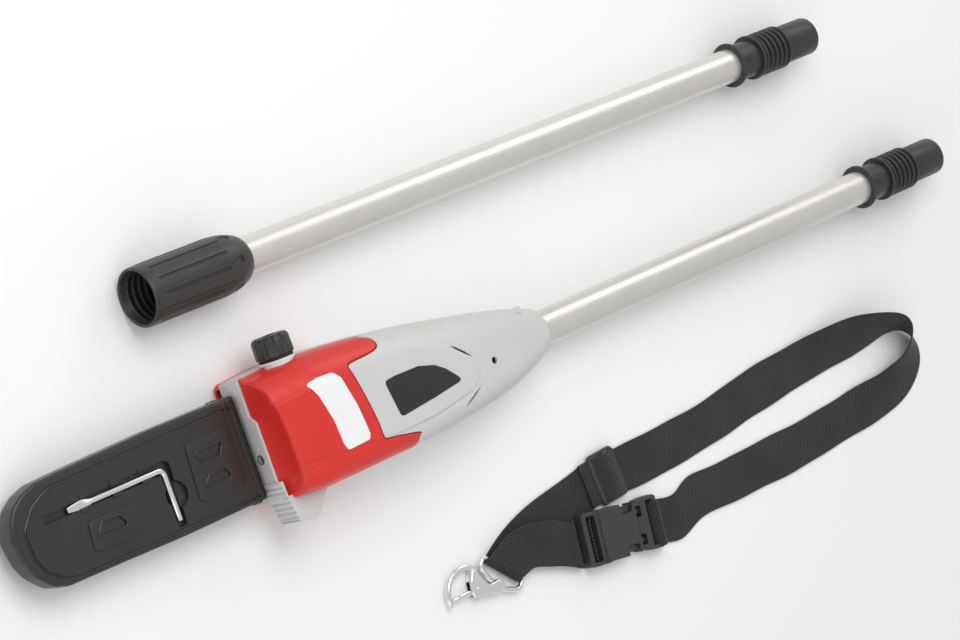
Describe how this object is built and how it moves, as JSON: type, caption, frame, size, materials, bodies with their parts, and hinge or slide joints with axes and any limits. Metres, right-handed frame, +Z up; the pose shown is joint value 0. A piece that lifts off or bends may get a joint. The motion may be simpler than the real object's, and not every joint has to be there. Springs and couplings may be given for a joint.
{
  "type": "pole saw",
  "caption": "Battery pole saw head on an aluminium tube with a sheathed bar, a screw-collar extension tube and a webbing carrying strap.",
  "frame": {"origin": "centre of the end face of the saw tube's plug, on the tube's axis", "axes": "+X from the blade tip to the plug along the tube, +Y towards the oil cap, +Z up with the saw lying on its chain cover"},
  "size_m": [1.0738, 0.3846, 0.0729],
  "materials": {
    "grey_shell": "satin moulded",
    "red_shell": "satin moulded",
    "label_black": "smooth label",
    "label_white": "smooth label",
    "tank_plastic": "moulded",
    "dark_plastic": "fine-grained",
    "black_plastic": "fine-grained",
    "collar_plastic": "satin",
    "anodised_tube": "satin anodised",
    "cast_plate": "die cast",
    "machined_steel": "machined",
    "motor_steel": "plain",
    "bar_steel": "ground",
    "chain_steel": "oiled",
    "zinc_plate": "zinc plated",
    "contact_brass": "plain",
    "wire_sheath": "plain",
    "seal_rubber": "plain",
    "webbing": "ribbed webbing"
  },
  "bodies": {
    "saw_head": {"head_shell_lower": "grey_shell", "head_shell_upper": "grey_shell", "red_shroud": "red_shell", "chain_cover": "red_shell", "bumper_spike": "grey_shell", "label_plate": "label_black", "label_window": "label_white", "oil_tank": "tank_plastic", "oil_neck": "tank_plastic", "oil_pump": "black_plastic", "gear_plate": "cast_plate", "bearing_bridge": "cast_plate", "shaft_bearings": "machined_steel", "motor_can": "motor_steel", "motor_bearings": "machined_steel", "bar_stud": "machined_steel", "cover_nut": "machined_steel", "housing_screws": "machined_steel", "tube_clamp": "cast_plate", "saw_tube": "anodised_tube", "saw_plug": "black_plastic", "plug_contacts": "contact_brass", "saw_wire": "wire_sheath"},
    "bar": {"guide_bar": "bar_steel", "saw_chain": "chain_steel"},
    "nose": {"nose_sprocket": "machined_steel"},
    "tension_screw": {"tension_screw": "machined_steel"},
    "tension_block": {"tension_block": "machined_steel"},
    "sprocket": {"drive_sprocket": "machined_steel", "crown_gear": "machined_steel"},
    "rotor": {"motor_rotor": "motor_steel"},
    "scabbard": {"scabbard": "dark_plastic"},
    "combi_tool": {"combi_tool": "zinc_plate"},
    "cap_seal": {"oil_cap_seal": "seal_rubber"},
    "oil_cap": {"oil_cap": "black_plastic"},
    "extension": {"ext_tube": "anodised_tube", "ext_socket": "black_plastic", "ext_socket_contacts": "contact_brass", "ext_plug": "black_plastic", "ext_plug_contacts": "contact_brass", "ext_wire": "wire_sheath"},
    "slip_ring": {"slip_ring": "black_plastic"},
    "collar_nut": {"collar_nut": "collar_plastic"},
    "strap": {"strap_upper": "webbing", "strap_turn": "webbing", "strap_lower": "webbing", "strap_leg_long": "webbing", "strap_leg_short": "webbing", "strap_fold": "webbing", "buckle_female": "black_plastic"},
    "buckle_male": {"buckle_male": "black_plastic"},
    "prong_left": {"buckle_prong_left": "black_plastic"},
    "prong_right": {"buckle_prong_right": "black_plastic"},
    "glide": {"tri_glide": "black_plastic"},
    "ring": {"hook_ring": "zinc_plate"},
    "hook": {"hook_body": "zinc_plate", "gate_pin": "machined_steel"},
    "gate": {"hook_gate": "zinc_plate"}
  },
  "joints": [
    {"name": "scabbard_slide", "type": "slide", "parent": "saw_head", "child": "scabbard", "axis": [-1, 0, 0], "range_m": [0, 0.26]},
    {"name": "tool_lift", "type": "slide", "parent": "scabbard", "child": "combi_tool", "axis": [0, 0, 1], "range_m": [0, 0.03]},
    {"name": "oil_cap_turn", "type": "hinge", "parent": "cap_seal", "child": "oil_cap", "pos_m": [-0.8002, 0.066, 0.014], "axis": [0, 1, 0], "range_deg": [0, 1440]},
    {"name": "oil_cap_lift", "type": "slide", "parent": "saw_head", "child": "cap_seal", "axis": [0, 1, 0], "range_m": [0, 0.012]},
    {"name": "tension_turn", "type": "hinge", "parent": "saw_head", "child": "tension_screw", "pos_m": [-0.8412, -0.004, 0.0076], "axis": [1, 0, 0], "range_deg": [0, 1440]},
    {"name": "tension_block_slide", "type": "slide", "parent": "saw_head", "child": "tension_block", "axis": [1, 0, 0], "range_m": [0, 0.0051]},
    {"name": "bar_slide", "type": "slide", "parent": "saw_head", "child": "bar", "axis": [1, 0, 0], "range_m": [0, 0.005]},
    {"name": "sprocket_spin", "type": "hinge", "parent": "saw_head", "child": "sprocket", "pos_m": [-0.7872, 0.007, 0], "axis": [0, 0, 1], "continuous": true, "deforming": ["saw_chain"]},
    {"name": "rotor_spin", "type": "hinge", "parent": "saw_head", "child": "rotor", "pos_m": [-0.7432, 0.007, 0.014], "axis": [1, 0, 0], "continuous": true},
    {"name": "nose_spin", "type": "hinge", "parent": "bar", "child": "nose", "pos_m": [-1.0362, 0.007, -0.008], "axis": [0, 0, 1], "continuous": true},
    {"name": "extension_lift", "type": "slide", "parent": "saw_head", "child": "extension", "axis": [0, 0, 1], "range_m": [0, 0.2]},
    {"name": "collar_slide", "type": "slide", "parent": "extension", "child": "slip_ring", "axis": [1, 0, 0], "range_m": [0, 0.05]},
    {"name": "collar_turn", "type": "hinge", "parent": "slip_ring", "child": "collar_nut", "pos_m": [-0.7902, 0.146, 0], "axis": [1, 0, 0], "continuous": true},
    {"name": "strap_lift", "type": "slide", "parent": "saw_head", "child": "strap", "axis": [0, 0, 1], "range_m": [0, 0.2]},
    {"name": "buckle_release", "type": "slide", "parent": "strap", "child": "buckle_male", "axis": [0.9903, -0.1392, 0], "range_m": [0, 0.045]},
    {"name": "prong_left_flex", "type": "hinge", "parent": "buckle_male", "child": "prong_left", "pos_m": [-0.47355, -0.17782, -0.01775], "axis": [0, 0, 1], "range_deg": [0, 6], "stiffness_Nm_per_rad": 0.05},
    {"name": "prong_right_flex", "type": "hinge", "parent": "buckle_male", "child": "prong_right", "pos_m": [-0.47689, -0.20158, -0.01775], "axis": [0, 0, -1], "range_deg": [0, 6], "stiffness_Nm_per_rad": 0.05},
    {"name": "glide_slide", "type": "slide", "parent": "strap", "child": "glide", "axis": [0.9986, 0.0523, 0], "range_m": [0, 0.03]},
    {"name": "ring_swing", "type": "hinge", "parent": "strap", "child": "ring", "pos_m": [-0.63, -0.17, -0.01955], "axis": [-0.7071, 0.7071, 0], "range_deg": [0, 60]},
    {"name": "hook_swing", "type": "hinge", "parent": "ring", "child": "hook", "pos_m": [-0.64061, -0.18061, -0.01955], "axis": [-0.7071, 0.7071, 0], "range_deg": [0, 45]},
    {"name": "gate_swing", "type": "hinge", "parent": "hook", "child": "gate", "pos_m": [-0.663, -0.176, -0.01955], "axis": [0, 0, 1], "range_deg": [-19, 0], "stiffness_Nm_per_rad": 0.02}
  ],
  "couplings": [
    {"joint": "oil_cap_turn", "follows": "oil_cap_lift", "rad_per_m": 2094.4},
    {"joint": "tension_block_slide", "follows": "bar_slide", "ratio": 1},
    {"joint": "tension_turn", "follows": "bar_slide", "rad_per_m": 5026.5},
    {"joint": "rotor_spin", "follows": "sprocket_spin", "ratio": 4},
    {"joint": "nose_spin", "follows": "sprocket_spin", "ratio": 0.66667}
  ]
}
